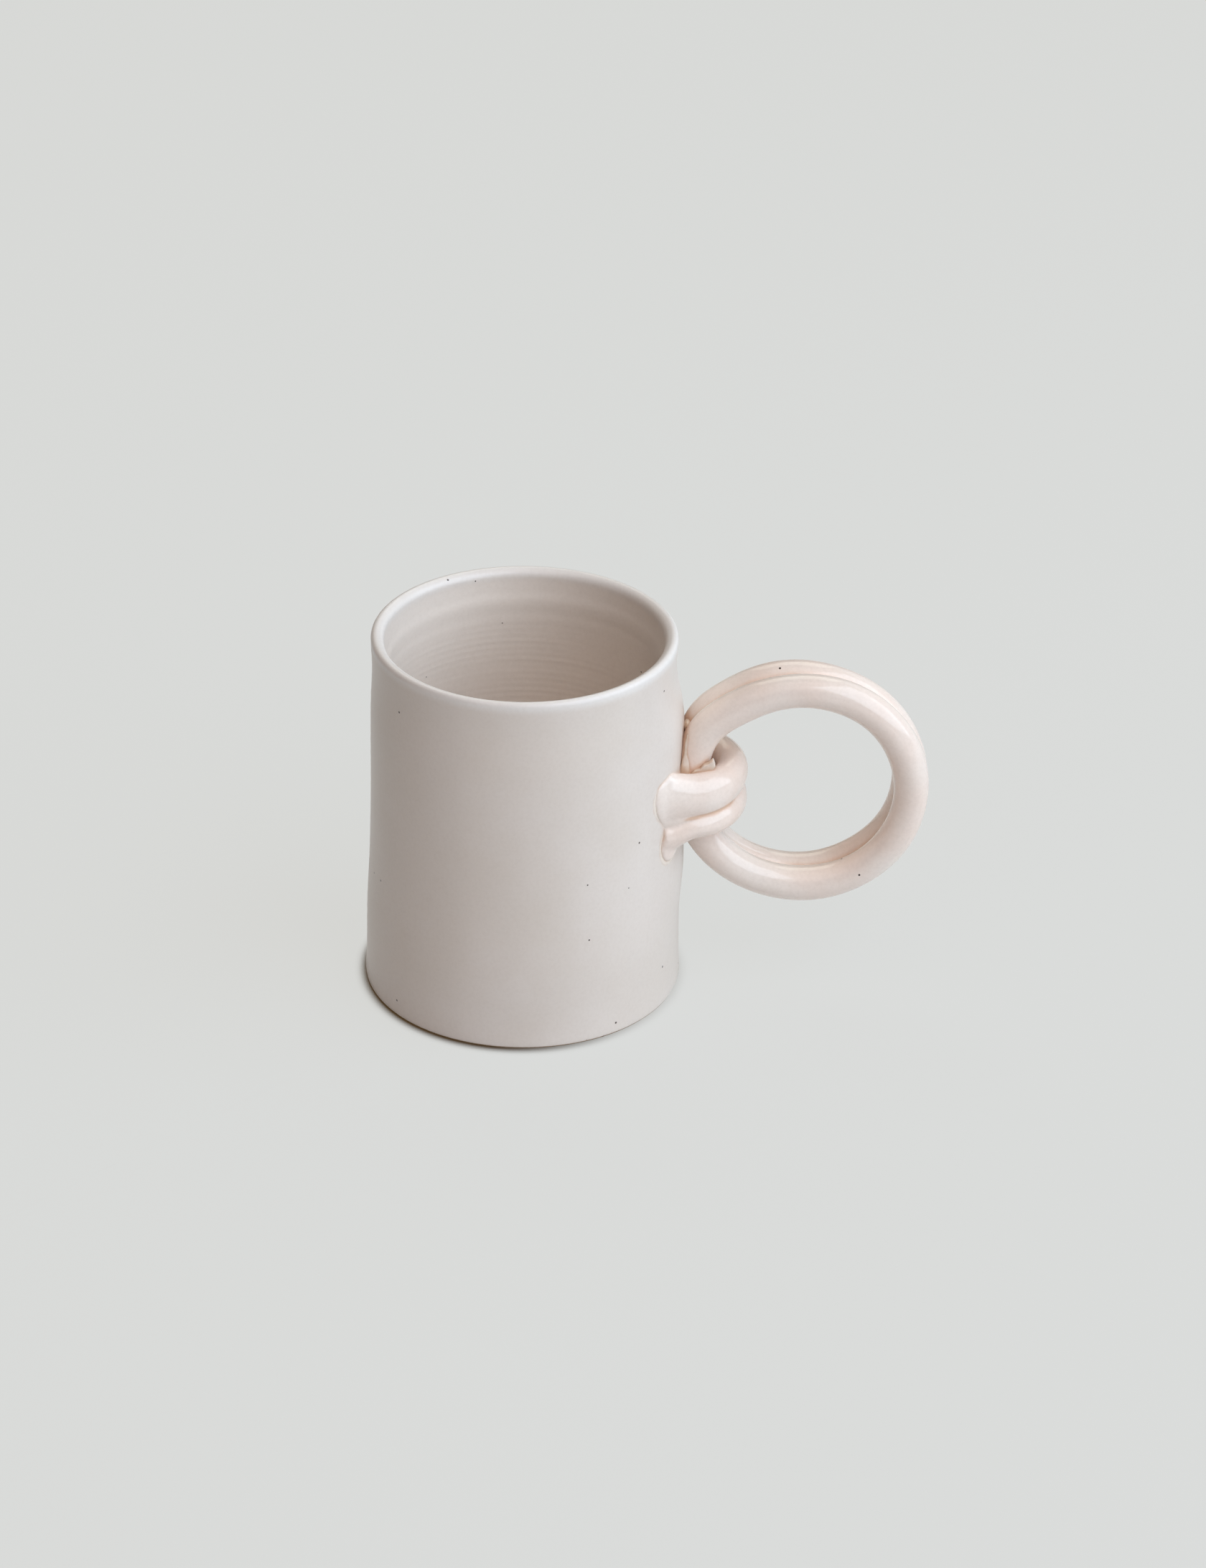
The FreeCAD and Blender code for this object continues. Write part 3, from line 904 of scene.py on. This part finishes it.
def painted_inside_and_lip_light(tree, place, colour, inside_colour, lip_colour):
    """The glaze's colour, painted whiter inside the cup and on the lip, as painted light there."""
    level = add_node(
        tree, "ShaderNodeVectorMath", {1: (1, 1, 0)}, {0: place}, operation="MULTIPLY",
    )
    from_axis = add_node(
        tree, "ShaderNodeVectorMath", {}, {0: level.outputs[0]}, operation="LENGTH",
    )
    within = ramp(tree, from_axis.outputs["Value"], INSIDE_LIGHT_FULL, INSIDE_LIGHT_GONE, 1.0, 0.0)
    colour = blend(tree, within, colour, inside_colour)
    at_lip = ramp(tree, part_of(tree, place, "Z"), LIP_LIGHT_LOW, LIP_LIGHT_HIGH)
    return blend(tree, at_lip, colour, lip_colour)


def make_glaze(
    name, thick, thin, crease_colour, crease_share, grain_share, roughness, bump_mm, painted_light_colours=None,
):
    """A glaze over speckled stoneware; thick and thin are its colours at each thickness.

    painted_light_colours are its colours painted lighter inside the cup and on the lip, as painted
    light and a painted highlight.
    """
    material, tree, output, place = new_material(name)
    drift = ramp(tree, cloud(tree, place, DRIFT_MM, 3.0), 0.2, 0.8)
    colour = blend(tree, drift, thick, thin)
    # painted light: the wall's glaze is made lighter inside the cup, and lighter and cooler on the
    # lip
    if painted_light_colours:
        colour = painted_inside_and_lip_light(tree, place, colour, *painted_light_colours)
    grain = ramp(tree, cloud(tree, place, GRAIN_MM, 2.0, 0.6), 0.35, 0.75, 0.0, grain_share)
    colour = blend(tree, grain, colour, "#a8917f")

    # partly painted shade: sheltered creases get the warm crease colour, both for the glaze
    # breaking there and for the shade that falls in them
    crease = add_node(tree, "ShaderNodeAttribute", attribute_name="crease").outputs["Fac"]
    wander = math_of(tree, "MULTIPLY", cloud(tree, place, 3.0), CREASE_WANDER)
    uneven = math_of(tree, "SUBTRACT", crease, wander)
    glaze_break_and_crease_shade = ramp(tree, uneven, 0.0, CREASE_FULL, 0.0, crease_share)
    colour = blend(tree, glaze_break_and_crease_shade, colour, crease_colour)

    iron = specks(tree, place, SPECK_SPACING_MM, SPECK_RADIUS_MM)
    colour = blend(tree, iron, colour, "#4a3a33")

    orange_peel = cloud(tree, place, PEEL_MM, 1.0)
    bump = add_node(
        tree, "ShaderNodeBump", {"Strength": 1.0, "Distance": bump_mm * MM},
        {"Height": orange_peel},
    )
    shader = add_node(
        tree, "ShaderNodeBsdfPrincipled",
        {"IOR": 1.5, "Roughness": roughness},
        {"Base Color": colour, "Normal": bump.outputs["Normal"]},
    )
    tree.links.new(shader.outputs["BSDF"], output.inputs["Surface"])
    return material


# a satin glaze fired on stoneware gives wide, soft highlights on a quiet, slightly grained white
# its last two colours are painted light: lighter inside the cup, and a lighter, cooler lip standing
# in for its highlight
body_glaze = make_glaze(
    "satin_glaze_on_stoneware", "#e3d8d0", "#ddd1c7", "#d2ab8d", crease_share=0.45,
    grain_share=0.06, roughness=0.32, bump_mm=0.015, painted_light_colours=("#e8ddd4", "#ebe4df"),
)
# a thin gloss glaze gives small, bright highlights, and lets the pink of the clay through
coil_glaze = make_glaze(
    "thin_gloss_glaze_on_coils", "#f4e8df", "#f0dacd", "#dcb090",
    crease_share=0.7, grain_share=0.08, roughness=0.12, bump_mm=0.012,
)
# glaze broken by rough slip under it gives an uneven gleam, with warm clay and painted shade in
# every crease
slip_glaze = make_glaze(
    "broken_glaze_over_slip", "#efe3d8", "#e9d8c9", "#c9a27c",
    crease_share=0.65, grain_share=0.12, roughness=0.20, bump_mm=0.04,
)

# %% [markdown]
# ## The bare foot
# The glaze is wiped off the foot with a wet sponge, or it would glue the mug to the kiln shelf.
# So the underside and its rounded edge show the fired clay: matt, warm beige, gritty, and with
# the curved lines of the wire that cut the pot from the wheel.

# %% Mix the bare clay
GRIT_MM = 0.7
WIRE_MM = 22.0
WIPED_HEIGHT = 0.9 * MM
FOOT_SHADE_LOW = 0.1 * MM
FOOT_SHADE_EDGE = FOOT_RADIUS - 2 * MM, FOOT_RADIUS - 1 * MM


def make_bare_clay():
    """Clay fired without glaze: matt and sandy, with painted shade darkening the foot's lowest
    edge.
    """
    material, tree, output, place = new_material("bare_stoneware")
    grit = cloud(tree, place, GRIT_MM, 4.0, 0.7)
    colour = blend(tree, ramp(tree, grit, 0.35, 0.7), "#d3bfa9", "#b89d83")
    colour = blend(tree, specks(tree, place, 3.0, 0.4), colour, "#7d5f4a")
    # painted shade: darker at the foot's rounded edge near the floor, where the gap under the foot
    # lies in shade
    low_down = ramp(tree, part_of(tree, place, "Z"), FOOT_SHADE_LOW, WIPED_HEIGHT, 1.0, 0.0)
    away = add_node(tree, "ShaderNodeVectorMath", {}, {0: place}, operation="LENGTH")
    on_edge = ramp(tree, away.outputs["Value"], *FOOT_SHADE_EDGE)
    painted_foot_shade = math_of(tree, "MULTIPLY", low_down, on_edge)
    colour = blend(tree, painted_foot_shade, colour, "#4f3c28")
    wire = add_node(
        tree, "ShaderNodeTexWave",
        {"Scale": 1000.0 / WIRE_MM, "Distortion": 1.5, "Detail": 2.0},
        {"Vector": place}, wave_type="RINGS", rings_direction="Z",
    )
    lines = add_node(
        tree, "ShaderNodeBump", {"Strength": 0.5, "Distance": 0.15 * MM},
        {"Height": wire.outputs["Fac"]},
    )
    bump = add_node(
        tree, "ShaderNodeBump", {"Strength": 0.8, "Distance": 0.12 * MM},
        {"Height": grit, "Normal": lines.outputs["Normal"]},
    )
    shader = add_node(
        tree, "ShaderNodeBsdfPrincipled", {"Roughness": 0.85, "IOR": 1.5},
        {"Base Color": colour, "Normal": bump.outputs["Normal"]},
    )
    tree.links.new(shader.outputs["BSDF"], output.inputs["Surface"])
    return material


body.data.materials.append(body_glaze)
body.data.materials.append(make_bare_clay())
for face in body.data.polygons:
    face.material_index = 1 if face.center.z < WIPED_HEIGHT else 0
for piece in handle_pieces:
    piece.data.materials.append(coil_glaze)
for piece in slip_pieces:
    piece.data.materials.append(slip_glaze)

# %% [markdown]
# ## Floor, light and camera
# The floor is a pale, seamless backdrop that glows by itself, as if lit from behind. Only a short,
# warm shadow is left on it where the mug is near, and it fades on the side of the window.
# Light that bounces off the floor on to the mug comes from plain white paper instead.

# %% Lay the floor
FLOOR_REACH = 6.0
FLOOR_WHITE = 0.75
FLOOR_GAP = 0.02 * MM         # so that the foot and the floor never share a plane
BACKDROP_GLOW = 0.64
CONTACT_REACH = 3.5 * MM
CONTACT_DARK, CONTACT_OPEN = 0.45, 0.97   # openness at which the shadow is full, and gone
SHADOW_FADE = -0.01, 0.04                 # x in metres between which it fades to the share below
SHADOW_AT_WINDOW = 0.15

floor_bm = bmesh.new()
bmesh.ops.create_grid(floor_bm, x_segments=1, y_segments=1, size=FLOOR_REACH)
bmesh.ops.translate(floor_bm, verts=floor_bm.verts, vec=(0, 0, -FLOOR_GAP))
floor = piece_from(floor_bm, "floor")
floor_material, floor_tree, floor_output, floor_place = new_material("pale_backdrop")
paper = add_node(
    floor_tree, "ShaderNodeBsdfDiffuse", {"Color": (FLOOR_WHITE, FLOOR_WHITE, FLOOR_WHITE, 1.0)},
)
openness = add_node(
    floor_tree, "ShaderNodeAmbientOcclusion", {"Distance": CONTACT_REACH}, samples=8,
)
near_clay = ramp(floor_tree, openness.outputs["AO"], CONTACT_DARK, CONTACT_OPEN, 1.0, 0.0)
across = part_of(floor_tree, floor_place, "X")
away_from_window = ramp(floor_tree, across, *SHADOW_FADE, 1.0, SHADOW_AT_WINDOW)
shade = math_of(floor_tree, "MULTIPLY", near_clay, away_from_window)
glow_colour = blend(floor_tree, shade, "#fffffb", "#57401f")
backdrop = add_node(
    floor_tree, "ShaderNodeBsdfPrincipled",
    {
        "Base Color": (0.07, 0.08, 0.09, 1.0), "Roughness": 1.0, "Specular IOR Level": 0.0,
        "Emission Strength": BACKDROP_GLOW,
    },
    {"Emission Color": glow_colour},
)
bounced = add_node(floor_tree, "ShaderNodeLightPath").outputs["Is Diffuse Ray"]
either = add_node(
    floor_tree, "ShaderNodeMixShader", {},
    {0: bounced, 1: backdrop.outputs["BSDF"], 2: paper.outputs["BSDF"]},
)
floor_tree.links.new(either.outputs["Shader"], floor_output.inputs["Surface"])
floor.data.materials.append(floor_material)

# %% [markdown]
# A big window at the right gives most of the light, and it is cool. A warmer ceiling and two weaker
# lights open the shadows. The white card is seen only in reflections, and the room is brighter in
# reflections than in what it sheds, so the glaze shines without its colour washing out.

# %% Light the room
LIGHT_DISTANCE = 1.5
ROOM_LIGHT, ROOM_REFLECTED = 0.03, 0.15


def soft_light(name, azimuth, elevation, width, height, brightness, colour):
    """A rectangle of light facing the mug. Azimuth 0 is in front and 90 is on the right."""
    light = bpy.data.lights.new(name, "AREA")
    light.shape = "RECTANGLE"
    light.size = width
    light.size_y = height
    light.energy = brightness * math.pi * width * height
    light.color = colour
    turn, rise = math.radians(azimuth), math.radians(elevation)
    flat = math.cos(rise)
    towards = Vector((math.sin(turn) * flat, -math.cos(turn) * flat, math.sin(rise)))
    lamp = bpy.data.objects.new(name, light)
    lamp.location = towards * LIGHT_DISTANCE + Vector((0, 0, MUG_HEIGHT / 2))
    lamp.rotation_mode = "QUATERNION"
    lamp.rotation_quaternion = towards.to_track_quat("Z", "Y")
    bpy.context.scene.collection.objects.link(lamp)
    return lamp


# azimuth and elevation in degrees, width and height in metres, brightness and linear colour
soft_light("window", 65, 38, 2.0, 1.6, 2.92, (0.75, 0.88, 1.0))
soft_light("ceiling", -5, 62, 1.6, 1.6, 0.95, (1.0, 0.76, 0.61))
soft_light("left_wall", -140, 22, 1.2, 0.8, 0.3, (1.0, 1.0, 1.0))
soft_light("rear_wall", 180, 50, 1.2, 0.8, 1.75, (1.0, 1.0, 0.87))
white_card = soft_light("white_card", 118, 12, 2.2, 1.8, 0.75, (0.88, 0.95, 1.0))
white_card.visible_diffuse = False

world = bpy.data.worlds.new("room")
bpy.context.scene.world = world
world.use_nodes = True
room = world.node_tree.nodes["Background"]
room.inputs["Color"].default_value = (0.80, 0.90, 1.0, 1.0)
mirrored = add_node(world.node_tree, "ShaderNodeLightPath").outputs["Is Glossy Ray"]
strength = ramp(world.node_tree, mirrored, 0, 1, ROOM_LIGHT, ROOM_REFLECTED)
world.node_tree.links.new(strength, room.inputs["Strength"])

# %% [markdown]
# The camera stands in front of the mug and looks down at it by about 29 degrees, through a long
# lens, which keeps the mug's sides nearly upright.

# %% Set up the camera
CAMERA_PLACE = Vector((0.0300, -1.0586, 0.6475))
CAMERA_TURN = [math.radians(a) for a in (60.838, -0.796, 0.931)]

camera_data = bpy.data.cameras.new("camera")
camera_data.sensor_width = 36.0
camera_data.lens = 105.0
camera = bpy.data.objects.new("camera", camera_data)
camera.location = CAMERA_PLACE
camera.rotation_euler = CAMERA_TURN
bpy.context.scene.collection.objects.link(camera)
bpy.context.scene.camera = camera
bpy.context.scene.view_settings.view_transform = "Standard"
